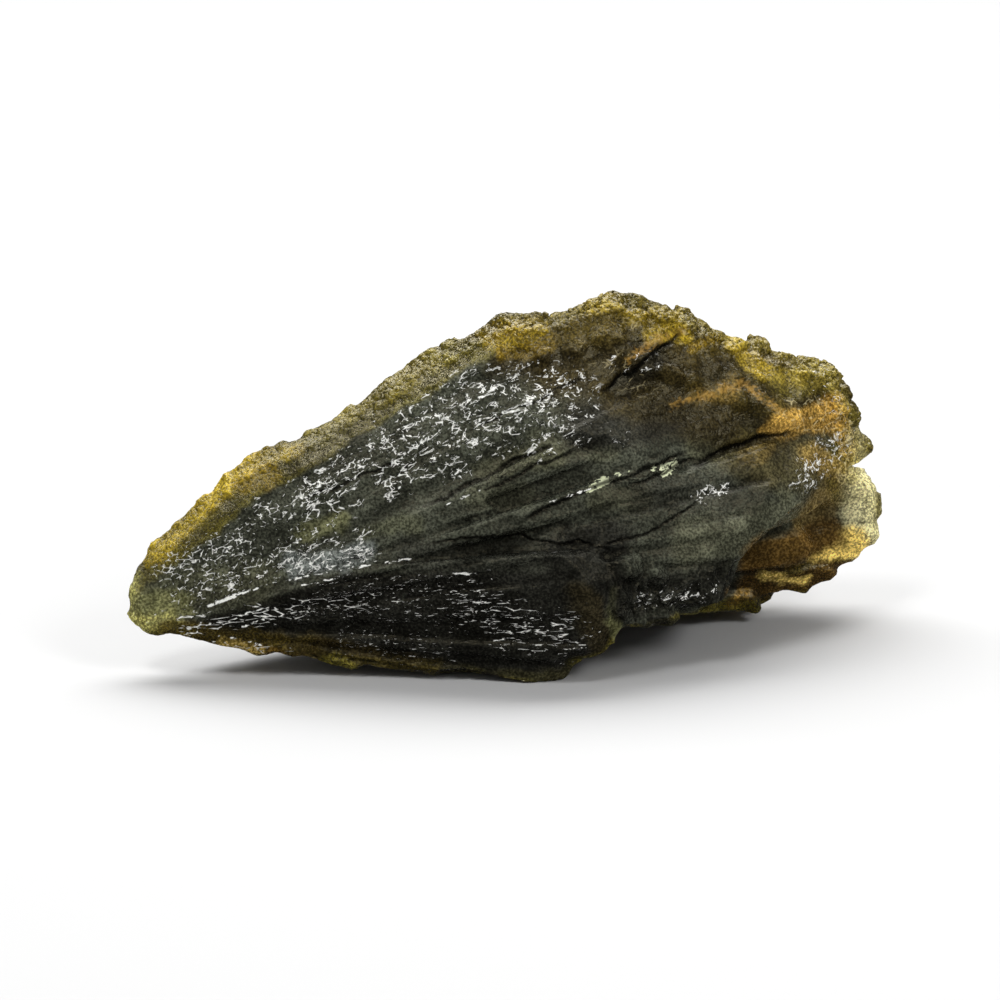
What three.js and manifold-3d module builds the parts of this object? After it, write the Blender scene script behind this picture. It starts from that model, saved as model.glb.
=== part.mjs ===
// A fan-shaped spray of epidote, about 60 mm long, lying as it rests on a table.
//
// The spray is one natural solid. Its crystals start at one growth point near the left tip and spread
// to the right, up and back. They show as long flat-faced ribs on the front, which step like shingles,
// and as a crust of small stubby crystals where they end: round the rim and over the domed back.
//
// The forms are laid out in the fan's own directions, in millimetres from the growth point:
// u runs along the fan to the right, v runs up the fan, and w runs through it, from front to back.
// The fan leans back by LEAN, and the part's frame has +Z up and its origin under the middle of its box.

import * as THREE from "three";
import { ConvexGeometry } from "three/addons/geometries/ConvexGeometry.js";
import { mergeVertices } from "three/addons/utils/BufferGeometryUtils.js";
import Module from "manifold-3d";

const wasm = await Module();
wasm.setup();

// ---- Driving dimensions, in millimetres and degrees ----

const LEAN = 17; // how far the fan's plane leans back from upright
const GROWTH_POINT_HEIGHT = 3.8; // of the growth point above the table
const WELD = 0.08; // details smaller than this are cleaned away after the join
const BLOCK = 400; // side of the block that stands for the table

// The main fan's rim, from the underside of the left tip, over the top and down the right end, as [u, v].
const MAIN_RIM = [
  [2.6, -0.6], [-0.4, -0.1], [-1.8, 1.8], [-1.4, 4.2], [0.9, 7.4], [5.6, 11.8], [9.4, 14.1],
  [15.4, 17.1], [22.0, 21.4], [27.6, 24.4], [31.6, 24.5], [35.4, 26.2], [41.2, 25.0], [45.2, 23.2],
  [49.6, 22.0], [53.6, 20.4], [55.6, 15.8], [55.4, 11.9], [51.6, 8.8], [48.6, 7.6], [45.8, 4.8],
  [44.4, 1.8], [38.6, 0.8],
];
const CLIFF_SHARE = 0.74; // beyond this share of the rim, the fan stays thick and ends in a cliff

// Where the fan's middle surface bends back, towards its right end.
const BEND = { start: 25, rate: 0.066, power: 1.5 };

// Half the fan's thickness: at the rim, what each millimetre inwards adds, the most, and at the left tip.
const RIM_HALF_DEPTH = 0.9;
const HALF_DEPTH_RATE = 0.42;
const MOST_HALF_DEPTH = 4.8;
const TIP_HALF_DEPTH = 0.8;
const CONE_RATE = 0.13; // added for each millimetre from the growth point

// The lower front lobe's outline, from its top edge down its end face and back along its foot, as [u, v].
const LOBE_RIM = [
  [17.0, 5.0], [26.0, 5.9], [34.6, 6.2], [36.8, 3.6], [36.9, 0.2], [36.2, -1.9], [33.6, -3.0],
  [31.4, -4.5], [27.2, -3.7], [23.6, -3.3], [21.2, -3.7], [18.4, -3.1], [15.0, -3.2], [12.0, -2.3],
  [9.0, -1.9], [6.0, -1.6], [2.6, -0.7],
];
const LOBE_BACK = { least: 1, start: 0.5, rate: 0.1, most: 3 }; // behind its face, and as w along u
// The ridge where the front turns under: its v at u, then how fast the lobe and the fan fall back below it.
const RIDGE = { rate: 0.33, most: 5.2, raisedOnFan: 1 };
const LOBE_TURN = 0.42;
const LOBE_PROUD = 0.6; // of the fan's face at the ridge
const FAN_TURN = 0.6;
const TURN_END = [38, 45]; // between these u the fan's face stops turning under

// Shingles that lie on the front: two corners of the outer end as [u, v], and how far each stands proud.
const SHINGLES = [
  { from: [50.6, 15.4], to: [52.8, 12.6], proud: 0.4 },
  { from: [52.6, 12.8], to: [51.2, 9.6], proud: 0.6 },
  { from: [51.0, 9.8], to: [48.6, 7.8], proud: 0.8 },
  { from: [48.6, 8.2], to: [46.2, 5.4], proud: 0.7 },
  { from: [45.8, 5.6], to: [44.4, 2.0], proud: 0.5 },
  { from: [39.6, 13.2], to: [43.4, 11.4], proud: 0.5 },
  { from: [36.8, 12.2], to: [38.8, 10.4], proud: 0.6 },
  { from: [32.2, 14.8], to: [35.0, 13.4], proud: 0.3 },
  { from: [24.2, 10.6], to: [27.0, 9.4], proud: 0.3 },
];

// Crystals that end one by one below the shingles and beside the lobe, then along the amber wedge behind
// them: each tip as [u, v, w].
const BLOCK_TIPS = [
  [44.6, 2.6, 4.6], [43.2, 2.2, 2.6], [41.4, 1.6, 1.2], [39.4, 1.3, 0.4], [37.8, 1.6, -0.6],
  [42.6, 4.4, 1.4], [40.4, 4.6, -0.6], [38.4, 5.0, -2.2], [38.0, 3.2, -1.6],
];
const WEDGE_TIPS = [
  [57.3, 11.8, 13.6], [58.2, 9.9, 14.2], [58.0, 8.0, 14.6], [56.2, 6.5, 14.6], [54.4, 5.2, 14.6],
  [52.4, 4.2, 14.4], [50.2, 4.0, 14.0], [48.2, 2.4, 13.6], [46.0, 2.4, 13.0], [56.4, 9.6, 16.6],
  [54.6, 7.4, 17.0], [47.4, 2.2, 17.6],
];
const RIM_BLOCK = { at: [55.9, 14.3, 12], size: 2.6 }; // the crust's largest crystal, at the right end
const BLOCK_SIZE = 2.6;
const WEDGE_SIZE = 3.0;

// The widths of the ribs where they end, and the knob where they all begin.
const FAN_RIB_WIDTH = 3.4;
const LOBE_RIB_WIDTH = 3.0;
const KNOB = {
  at: [0.4, 1.2],
  radius: 2.1,
  rings: [[0.6, -1.45], [0.9, -1], [1, 0], [0.9, 1], [0.6, 1.45]], // the share of the radius, and w
  corners: 9,
};

// The crust's rows: how far over the edge to the front (-1) or back (1) each lies, how far inwards, between
// which shares of the rim, and its stubs' size against the usual one.
const CRUST_ROWS = [
  { side: 0, inwards: 0.2, from: 0.02, to: 0.76, scale: 1 },
  { side: -0.85, inwards: 1.3, from: 0.03, to: 0.75, scale: 1 },
  { side: 0.85, inwards: 1.3, from: 0.05, to: 0.74, scale: 1.25 },
  { side: -1, inwards: 2.5, from: 0.05, to: 0.42, scale: 0.95 },
  { side: -1, inwards: 3.0, from: 0.46, to: 0.74, scale: 0.95 },
  { side: -1, inwards: 4.7, from: 0.54, to: 0.73, scale: 0.9 },
];
const FINE_STUB = 1.35; // the usual size of a stub round the left tip
const BLOCKY_STUB = 2.0; // and at the right end
const STUB_SPACING = 0.92; // of a stub's size, from one to the next
const STUB_ROOT = 0.6; // of its size, how deep each begins

// The domed back: rows of crystals at a turn behind the fan, with the reach at even steps of rise.
const BACK_ROWS = [
  { turn: 8, low: 14, high: 36, reaches: [55, 54, 51, 48, 43] },
  { turn: 13, low: 7, high: 35, reaches: [54, 57, 55, 50, 45, 40] },
  { turn: 18, low: 6, high: 33, reaches: [52, 55, 54, 50, 46, 41, 36] },
  { turn: 23, low: 4.6, high: 30, reaches: [46, 49, 48, 45, 41, 37] },
  { turn: 28.5, low: 4, high: 26, reaches: [39, 41.5, 41, 38, 34] },
];
const BACK_SIZE = 5.2;
const BACK_CORE = 3; // how far inside the back's tips the core stays
const CORE_SHARE = 0.9; // of the way from the growth point to the rims, how far the core reaches
const CORE_COVER = 1.5; // of the lobe over the core

// ---- Small helpers ----

const radians = THREE.MathUtils.degToRad;
const lerp = THREE.MathUtils.lerp;
const clamp = THREE.MathUtils.clamp;
const lean = radians(LEAN);
const alongFan = new THREE.Vector3(1, 0, 0); // the direction of u
const upFan = new THREE.Vector3(0, Math.sin(lean), Math.cos(lean)); // the direction of v
const throughFan = new THREE.Vector3(0, Math.cos(lean), -Math.sin(lean)); // the direction of w

// A repeatable random number from 0 to 1 (mulberry32).
function randomSource(seed) {
  let state = seed;
  return () => {
    state = (state + 0x6d2b79f5) | 0;
    let t = Math.imul(state ^ (state >>> 15), 1 | state);
    t = (t + Math.imul(t ^ (t >>> 7), 61 | t)) ^ t;
    return ((t ^ (t >>> 14)) >>> 0) / 4294967296;
  };
}

const random = randomSource(20417);
const between = (low, high) => lerp(low, high, random());

// A direction in the fan's terms, as a direction of the part.
function direction(u, v, w) {
  return new THREE.Vector3()
    .addScaledVector(alongFan, u)
    .addScaledVector(upFan, v)
    .addScaledVector(throughFan, w);
}

// A place in the fan's terms, as a point of the part.
const point = (u, v, w) => direction(u, v, w).add(new THREE.Vector3(0, 0, GROWTH_POINT_HEIGHT));

function outline(pairs) {
  const curve = new THREE.SplineCurve(pairs.map(([u, v]) => new THREE.Vector2(u, v)));
  return {
    length: curve.getLength(),
    at: (share) => curve.getPointAt(share),
    // The direction out of the fan there, square to the outline.
    outwards: (share) => {
      const tangent = curve.getTangentAt(share);
      return new THREE.Vector2(-tangent.y, tangent.x);
    },
  };
}

const mainRim = outline(MAIN_RIM);
const lobeRim = outline(LOBE_RIM);

// How far [u, v] lies inside the part of the main rim where the fan thins out.
const thinningRim = Array.from({ length: 150 }, (_, i) => mainRim.at((i / 149) * CLIFF_SHARE));
const inset = (u, v) => Math.min(...thinningRim.map((p) => Math.hypot(p.x - u, p.y - v)));

// The middle surface's w at u.
const middle = (u) => BEND.rate * Math.max(0, u - BEND.start) ** BEND.power;

// Half the fan's thickness at [u, v].
function halfDepth(u, v) {
  const byInset = RIM_HALF_DEPTH + HALF_DEPTH_RATE * inset(u, v);
  return Math.min(byInset, MOST_HALF_DEPTH, TIP_HALF_DEPTH + CONE_RATE * Math.hypot(u, v));
}

// How far [u, v] lies below the ridge, which can be raised.
const belowRidge = (u, v, raised) => Math.max(0, Math.min(RIDGE.most + raised, RIDGE.rate * u) - v);

// The w of the main fan's face and back at [u, v].
function mainFront(u, v) {
  const turning = 1 - THREE.MathUtils.smoothstep(u, ...TURN_END);
  return middle(u) - halfDepth(u, v) + FAN_TURN * turning * belowRidge(u, v, RIDGE.raisedOnFan);
}
const mainBack = (u, v) => middle(u) + halfDepth(u, v);

// The w of the lobe's face and back at [u, v].
const lobeFront = (u, v) => LOBE_TURN * belowRidge(u, v, 0) - halfDepth(u, v) - LOBE_PROUD;
function lobeBack(u, v) {
  const behind = Math.min(LOBE_BACK.most, LOBE_BACK.start + LOBE_BACK.rate * u);
  return Math.max(lobeFront(u, v) + LOBE_BACK.least, behind);
}

// A closed three.js geometry as a solid.
function solid(geometry) {
  geometry.deleteAttribute("normal");
  geometry.deleteAttribute("uv");
  const merged = mergeVertices(geometry, 1e-3);
  return new wasm.Manifold(
    new wasm.Mesh({
      numProp: 3,
      vertProperties: merged.attributes.position.array,
      triVerts: new Uint32Array(merged.index.array),
    }),
  );
}

const hull = (points) => solid(new ConvexGeometry(points));

// ---- Crystals ----

const STATIONS = [0.16, 0.42, 0.7, 0.93, 1]; // along a rib, from the growth point to its end
const END_SHARE = 0.55; // of the full thickness left at a rib's end
const BEVEL = 0.1; // of a rib's width, at each long edge
const SHINGLE_BEVEL = 0.15; // of a shingle's width, at each long edge
const SHINGLE_DROP = 0.5; // from a shingle's face to its edges

// A fan of flat ribs side by side, as one closed sheet between a front and a back surface. Each rib reaches
// its own stretch of the rim, and stands a little proud of its neighbours or behind them.
function ribbedFan(rim, spacing, front, back) {
  const count = Math.round(rim.length / spacing);
  const columns = [];
  for (let i = 0; i < count; i++) {
    const proud = between(0.05, 0.2) * (i % 2 ? 1 : -1);
    const reach = 1 + between(-0.7, 0.3) / Math.max(5, rim.at((i + 0.5) / count).length());
    for (const side of [BEVEL, 1 - BEVEL]) {
      columns.push({ end: rim.at((i + side) / count).multiplyScalar(reach), proud });
    }
  }
  const points = [point(0, 0, -TIP_HALF_DEPTH), point(0, 0, TIP_HALF_DEPTH)];
  for (const { end, proud } of columns) {
    for (const s of STATIONS) {
      const [u, v] = [end.x * s, end.y * s];
      const [near, far] = [front(u, v) - proud * Math.min(1, s * 2), back(u, v)];
      const pinch = s === 1 ? (far - near) * (1 - END_SHARE) * 0.5 : 0;
      points.push(point(u, v, near + pinch), point(u, v, far - pinch));
    }
  }
  // The index of a column's front or back point at a station, where station -1 is the growth point.
  const at = (column, station, face) =>
    station < 0 ? face : 2 + (column * STATIONS.length + station) * 2 + face;
  const triangles = [];
  const quad = (a, b, c, d) => triangles.push([a, b, c], [a, c, d]);
  const last = columns.length - 1;
  const end = STATIONS.length - 1;
  for (let column = 0; column < last; column++) {
    for (let k = 0; k <= end; k++) {
      const next = column + 1;
      quad(at(column, k - 1, 0), at(next, k - 1, 0), at(next, k, 0), at(column, k, 0));
      quad(at(column, k, 1), at(next, k, 1), at(next, k - 1, 1), at(column, k - 1, 1));
    }
    quad(at(column, end, 0), at(column + 1, end, 0), at(column + 1, end, 1), at(column, end, 1));
  }
  for (let k = 0; k <= end; k++) {
    quad(at(0, k - 1, 0), at(0, k, 0), at(0, k, 1), at(0, k - 1, 1));
    quad(at(last, k, 0), at(last, k - 1, 0), at(last, k - 1, 1), at(last, k, 1));
  }
  const geometry = new THREE.BufferGeometry().setFromPoints(points);
  geometry.setIndex(triangles.filter(([a, b, c]) => a !== b && b !== c && c !== a).flat());
  return solid(geometry);
}

// A long flat shingle from the growth point to an outer end between two corners, proud of the fan's front.
function shingle({ from, to, proud }) {
  const points = [point(0, 0, 0)];
  for (const s of STATIONS) {
    const lift = proud * Math.min(1, s * 1.3);
    for (const side of [0, SHINGLE_BEVEL, 1 - SHINGLE_BEVEL, 1]) {
      const u = s * lerp(from[0], to[0], side);
      const v = s * lerp(from[1], to[1], side);
      const drop = side === 0 || side === 1 || s === 1 ? SHINGLE_DROP : 0;
      points.push(point(u, v, mainFront(u, v) - lift + drop), point(u, v, middle(u)));
    }
  }
  return hull(points);
}

// A prism's cross-section and the two ends of its chisel edge, as [across, through] shares of its size.
const PRISM = [[0.5, 0.1], [0.24, 0.5], [-0.3, 0.46], [-0.5, -0.08], [-0.2, -0.5], [0.3, -0.44]];
const CHISEL = [[0.3, 0.08], [-0.3, -0.1]];
const CHISEL_FALL = 0.35; // from the chisel edge to the sides' ends, as a share of the size
const CHISEL_TILT = 0.3; // and how much further or less far on either side
const PRISM_ROOT = 0.2; // of its width left at the growth point

// A six-sided prism that widens on its way from the growth point to the tip, and ends in a chisel edge.
// It begins at a share of that way: what lies before it is hidden in the core.
function prism(tip, size, roll, begin) {
  const root = point(0, 0, 0);
  const along = tip.clone().sub(root);
  const length = along.length();
  along.normalize();
  const across = along.clone().cross(throughFan).normalize().applyAxisAngle(along, radians(roll));
  const through = across.clone().cross(along).normalize();
  const place = (distance, side, face) =>
    root.clone()
      .addScaledVector(along, distance)
      .addScaledVector(across, side * size)
      .addScaledVector(through, face * size);
  const points = CHISEL.map(([side, face]) => place(length, side, face));
  const slim = lerp(PRISM_ROOT, 1, begin);
  for (const [side, face] of PRISM) {
    points.push(place(length * begin, side * slim, face * slim));
    points.push(place(length - size * (CHISEL_FALL + CHISEL_TILT * side), side, face));
  }
  return hull(points);
}

// Prisms to each of these tips.
const prismsTo = (tips, size, begin) =>
  tips.map((tip) => prism(point(...tip), size * between(0.9, 1.15), between(-30, 30), begin));

// A stubby crystal of the crust: a small tapering block with a tilted top, facing out along a direction.
function stub(centre, out, size) {
  const turn = new THREE.Quaternion().setFromUnitVectors(new THREE.Vector3(0, 0, 1), out.clone().normalize());
  const spin = between(0, Math.PI);
  const sides = 4;
  const points = [];
  for (let i = 0; i < sides; i++) {
    const angle = spin + (i / sides) * 2 * Math.PI;
    const [cos, sin] = [Math.cos(angle), Math.sin(angle)];
    const base = size * between(0.66, 0.8);
    const top = base * between(0.55, 0.8);
    points.push(new THREE.Vector3(base * cos, base * sin, -STUB_ROOT * size));
    points.push(new THREE.Vector3(top * cos, top * sin, size * between(0.16, 0.42)));
  }
  return hull(points.map((p) => p.applyQuaternion(turn).add(centre)));
}

// ---- The main fan ----

// A stub's usual size at a share of the rim.
const crustSize = (share) => lerp(FINE_STUB, BLOCKY_STUB, clamp((share - 0.3) / 0.3, 0, 1));

function rimCrust() {
  const made = [];
  for (const { side, inwards, from, to, scale } of CRUST_ROWS) {
    let share = from;
    while (share < to) {
      const size = scale * between(0.85, 1.2) * crustSize(share);
      const at = mainRim.at(share);
      const out = mainRim.outwards(share);
      const depth = inwards + between(-0.3, 0.2);
      const u = at.x - out.x * depth;
      const v = at.y - out.y * depth;
      const w = middle(u) + side * (halfDepth(u, v) - 0.1 * size);
      const tilt = direction(out.x, out.y, side * inwards * 0.7 + between(-0.25, 0.25));
      made.push(stub(point(u, v, w), tilt, size));
      share += (STUB_SPACING * size) / mainRim.length;
    }
  }
  return made;
}

// ---- The domed back ----

// The directions and reaches of a back row's tips.
function backTips({ turn, low, high, reaches }) {
  return reaches.map((reach, i) => {
    const rise = radians(lerp(low, high, i / (reaches.length - 1)) + between(-0.7, 0.7));
    const yaw = radians(turn + between(-0.7, 0.7));
    return { way: [Math.cos(rise) * Math.cos(yaw), Math.sin(rise), Math.cos(rise) * Math.sin(yaw)], reach };
  });
}

const backPlaces = BACK_ROWS.map(backTips);

// The outermost row and each row's lowest crystal show their whole length; the others only their ends.
function backCrystals() {
  return BACK_ROWS.flatMap((row, r) =>
    backPlaces[r].map(({ way, reach }, i) => {
      const whole = i === 0 || r === BACK_ROWS.length - 1;
      const tip = way.map((d) => d * (reach + between(-0.8, 0.4)));
      return prism(point(...tip), BACK_SIZE * between(0.9, 1.15), between(-30, 30), whole ? 0.1 : 0.65);
    }),
  );
}

// The rounded knob round the growth point, where all the ribs meet.
function knob() {
  const points = [];
  for (const [share, w] of KNOB.rings) {
    for (let i = 0; i < KNOB.corners; i++) {
      const angle = (i / KNOB.corners) * 2 * Math.PI + w;
      const reach = share * KNOB.radius * between(0.82, 1.08);
      points.push(point(KNOB.at[0] + reach * Math.cos(angle), KNOB.at[1] + reach * Math.sin(angle), w));
    }
  }
  return hull(points);
}

// The core that the ribs and the back crystals share.
function core() {
  const points = [];
  for (let i = 0; i <= 20; i++) {
    const { x: u, y: v } = mainRim.at(i / 20).multiplyScalar(CORE_SHARE);
    points.push(point(u, v, middle(u)));
  }
  for (const { way, reach } of backPlaces.flat()) {
    points.push(point(...way.map((d) => d * (reach - BACK_CORE))));
  }
  for (const [u, v] of LOBE_RIM.map(([x, y]) => [x * CORE_SHARE, y * CORE_SHARE])) {
    points.push(point(u, v, lobeFront(u, v) + CORE_COVER));
  }
  return hull(points);
}

// ---- The whole spray ----

function crystalSpray() {
  const grown = wasm.Manifold.union([
    core(),
    ribbedFan(mainRim, FAN_RIB_WIDTH, mainFront, mainBack),
    ribbedFan(lobeRim, LOBE_RIB_WIDTH, lobeFront, lobeBack),
    ...SHINGLES.map(shingle),
    knob(),
    stub(point(...RIM_BLOCK.at), direction(1, -0.1, 0), RIM_BLOCK.size),
    ...prismsTo(BLOCK_TIPS, BLOCK_SIZE, 0.7),
    ...prismsTo(WEDGE_TIPS, WEDGE_SIZE, 0.5),
    ...backCrystals(),
    ...rimCrust(),
  ]);
  const table = solid(new THREE.BoxGeometry(BLOCK, BLOCK, BLOCK).translate(0, 0, -BLOCK / 2));
  return outerShell(grown.subtract(table));
}

// A solid's surface as a three.js geometry.
function surfaceOf(shape) {
  const mesh = shape.getMesh();
  const geometry = new THREE.BufferGeometry();
  geometry.setAttribute("position", new THREE.BufferAttribute(mesh.vertProperties, 3));
  geometry.setIndex(new THREE.BufferAttribute(mesh.triVerts, 1));
  return geometry;
}

// The outer shell alone: closed hollows between the crystals inside it are filled.
function outerShell(shape) {
  const shells = solid(surfaceOf(shape)).simplify(WELD).decompose();
  return shells.reduce((most, shell) => (shell.volume() > most.volume() ? shell : most));
}

// The spray, with its origin under the middle of its box.
function sprayGeometry() {
  const geometry = surfaceOf(crystalSpray());
  geometry.computeBoundingBox();
  const { min, max } = geometry.boundingBox;
  return geometry.translate(-(min.x + max.x) / 2, -(min.y + max.y) / 2, 0);
}

const epidote = new THREE.MeshStandardMaterial({ color: 0x2c2d24, roughness: 0.35, metalness: 0 });
const spray = new THREE.Mesh(sprayGeometry(), epidote);
spray.name = "epidote_crystal";

const group = new THREE.Group();
group.add(spray);
export default group;
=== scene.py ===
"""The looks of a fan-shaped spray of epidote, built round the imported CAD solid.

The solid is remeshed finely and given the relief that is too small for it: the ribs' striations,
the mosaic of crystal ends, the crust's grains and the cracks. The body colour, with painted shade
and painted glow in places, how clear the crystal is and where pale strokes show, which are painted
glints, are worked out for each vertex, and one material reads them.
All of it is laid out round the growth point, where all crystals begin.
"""

import math

import bmesh
import bpy
import numpy as np
from mathutils import Matrix, Vector
from mathutils.bvhtree import BVHTree


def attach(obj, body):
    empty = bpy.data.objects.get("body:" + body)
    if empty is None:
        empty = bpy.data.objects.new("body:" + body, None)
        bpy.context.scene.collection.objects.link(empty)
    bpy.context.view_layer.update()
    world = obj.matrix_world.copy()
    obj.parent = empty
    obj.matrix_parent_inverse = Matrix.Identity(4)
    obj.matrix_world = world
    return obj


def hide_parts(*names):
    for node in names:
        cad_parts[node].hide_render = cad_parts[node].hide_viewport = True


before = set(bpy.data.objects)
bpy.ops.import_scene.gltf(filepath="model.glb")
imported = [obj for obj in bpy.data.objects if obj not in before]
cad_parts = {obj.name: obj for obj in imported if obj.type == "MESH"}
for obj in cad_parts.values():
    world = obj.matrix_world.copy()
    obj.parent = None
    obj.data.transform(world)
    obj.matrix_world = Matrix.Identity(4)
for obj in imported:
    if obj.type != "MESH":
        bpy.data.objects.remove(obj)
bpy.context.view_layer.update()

NODE = "epidote_crystal"
MM = 0.001

# ---- The fan's own directions: u to the right, v up the fan, w through it from front to back ----
# Lengths in these terms, and in all tables, are in mm from the growth point.

LEAN = math.radians(17)
GROWTH_POINT = np.array([-27.986, -9.614, 3.8])
ALONG_FAN = np.array([1.0, 0.0, 0.0])
UP_FAN = np.array([0.0, math.sin(LEAN), math.cos(LEAN)])
THROUGH_FAN = np.array([0.0, math.cos(LEAN), -math.sin(LEAN)])
LEAST_REACH = 1.5  # nearer the growth point, the reach counts as this much

# The main fan's rim, as in the CAD, as [u, v].
RIM = [
    (2.6, -0.6), (-0.4, -0.1), (-1.8, 1.8), (-1.4, 4.2), (0.9, 7.4), (5.6, 11.8),
    (9.4, 14.1), (15.4, 17.1), (22.0, 21.4), (27.6, 24.4), (31.6, 24.5), (35.4, 26.2),
    (41.2, 25.0), (45.2, 23.2), (49.6, 22.0), (53.6, 20.4), (55.6, 15.8), (55.4, 11.9),
]

# ---- Camera ----

AIM = Vector((-0.000786, -0.002614, 0.0122))
CAMERA_RISE = math.radians(17)
CAMERA_DISTANCE = 0.45
SENSOR = 36.0
FRAME_PIXELS = 1000
PIXELS_PER_MM = 12.6  # at the aim point


def add_camera():
    towards = Vector((0, math.cos(CAMERA_RISE), -math.sin(CAMERA_RISE)))
    data = bpy.data.cameras.new("camera")
    data.sensor_width = SENSOR
    data.lens = SENSOR * CAMERA_DISTANCE / (FRAME_PIXELS / PIXELS_PER_MM * MM)
    data.clip_start, data.clip_end = 0.01, 50
    camera = bpy.data.objects.new("camera", data)
    camera.location = AIM - towards * CAMERA_DISTANCE
    camera.rotation_mode = "QUATERNION"
    camera.rotation_quaternion = towards.to_track_quat("-Z", "Y")
    bpy.context.scene.collection.objects.link(camera)
    bpy.context.scene.camera = camera


add_camera()

# ---- Repeatable noise: the same salt always gives the same numbers ----

CORNERS = np.array([[i, j, k] for i in (0, 1) for j in (0, 1) for k in (0, 1)])
NEIGHBOURS = np.array([[i, j, k] for i in (-1, 0, 1) for j in (-1, 0, 1) for k in (-1, 0, 1)])


def hashed(cell, salt):
    """Random numbers from 0 to 1, one for each row of whole numbers."""
    x, y, z = (cell[..., i].astype(np.int64) for i in range(3))
    h = (x * 374761393 + y * 668265263 + z * 1442695041 + salt * 974634777) & 0xFFFFFFFF
    h = ((h ^ (h >> 13)) * 1274126177) & 0xFFFFFFFF
    h = ((h ^ (h >> 15)) * 1103515245) & 0xFFFFFFFF
    return ((h ^ (h >> 16)) & 0xFFFFFF) / float(0x1000000)


def noise(q, salt):
    """Smooth noise from -1 to 1 at points q."""
    base = np.floor(q)
    f = q - base
    f = f * f * (3 - 2 * f)
    total = np.zeros(len(q))
    for corner in CORNERS:
        share = np.prod(np.where(corner, f, 1 - f), axis=1)
        total += share * hashed(base + corner, salt)
    return total * 2 - 1


def layered(q, salt, layers=3):
    """Noise with finer and weaker noise on top of it."""
    total, size = np.zeros(len(q)), 1.0
    for i in range(layers):
        total += size * noise(q * 2**i, salt + i)
        size *= 0.5
    return total / 1.75


def cells(q, salt, jitter=0.9):
    """The cell of a mosaic that each point of q is in: how far inside the cell's edge the point is,
    the way from the cell's centre, and three random numbers of the cell."""
    base = np.floor(q)
    first = np.full(len(q), np.inf)
    second = np.full(len(q), np.inf)
    way = np.zeros_like(q)
    owner = np.zeros_like(q)
    for step in NEIGHBOURS:
        cell = base + step
        random = np.stack([hashed(cell, salt + i) for i in range(3)], 1)
        away = q - (cell + 0.5 + jitter * (random - 0.5))
        distance = np.sqrt((away * away).sum(1))
        nearer = distance < first
        second = np.where(nearer, first, np.minimum(second, distance))
        first = np.where(nearer, distance, first)
        way[nearer] = away[nearer]
        owner[nearer] = cell[nearer]
    random = np.stack([hashed(owner, salt + 11 + i) for i in range(3)], 1)
    return second - first, way, random


def ease(start, end, x):
    """0 where x is at start or before it, 1 at end or past it, and smooth between."""
    t = np.clip((x - start) / (end - start), 0, 1)
    return t * t * (3 - 2 * t)


# ---- Places on the fan ----


def fan_terms(p):
    """u, v, w, and the way from the growth point: its length, its angles in and through the fan."""
    d = p - GROWTH_POINT
    u, v, w = d @ ALONG_FAN, d @ UP_FAN, d @ THROUGH_FAN
    reach = np.maximum(np.sqrt((d * d).sum(1)), LEAST_REACH)
    return u, v, w, reach, np.arctan2(v, u), np.arctan2(w, np.hypot(u, v))


def polar(reach, rise, depth, along, across):
    """Coordinates whose cells grow with the reach: so many along the ribs, so many across them."""
    return np.stack([np.log(reach) * along, rise * across, depth * across], 1)


def off_line(u, v, line):
    """How far [u, v] is from a line through points, the share of the line that is nearest, and the
    side it is on."""
    best = np.full(len(u), np.inf)
    share = np.zeros(len(u))
    side = np.zeros(len(u))
    steps = len(line) - 1
    for i, ((ax, ay), (bx, by)) in enumerate(zip(line, line[1:])):
        dx, dy = bx - ax, by - ay
        t = np.clip(((u - ax) * dx + (v - ay) * dy) / (dx * dx + dy * dy), 0, 1)
        away = np.hypot(u - ax - t * dx, v - ay - t * dy)
        nearer = away < best
        best = np.where(nearer, away, best)
        share = np.where(nearer, (i + t) / steps, share)
        side = np.where(nearer, np.sign((v - ay) * dx - (u - ax) * dy), side)
    return best, share, side


# Where one zone gives way to the next: 0 at the first number, 1 at the second. In mm, but for
# FACING, which is how far the surface faces forwards.
FACING = (0.1, 0.5)
UNDER_RIDGE = (0.2, 0.9)
LOBE_END = (37.5, 36.0)
LOBE_DEPTH = (9, 6)
CRUST_INSET = (3.6, 1.8)
EDGE_INSET = (1.5, 0.6)
FLAT_INSET = (8, 5)
CRUST_TURNS_COARSE = (0.35, 0.6)  # as shares of the rim
RIDGE_RATE, RIDGE_MOST = 0.33, 5.0  # the ridge's v for each mm of u, and its most


def faces_front(n):
    """1 where the surface faces forwards, 0 where it doesn't."""
    return ease(*FACING, -(n @ THROUGH_FAN))


def is_lobe(u, v, w):
    """1 on the lower front lobe, 0 elsewhere."""
    ridge = np.minimum(RIDGE_MOST, RIDGE_RATE * u)
    return ease(*UNDER_RIDGE, ridge - v) * ease(*LOBE_END, u) * ease(*LOBE_DEPTH, w)


def is_crust(inset):
    """1 along the rim, 0 further in."""
    return ease(*CRUST_INSET, inset)


def is_edge(inset, front):
    """1 on the outermost grains and wherever the surface doesn't face forwards, 0 on the face."""
    return np.maximum(ease(*EDGE_INSET, inset), 1 - front)


# ---- Relief ----

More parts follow.
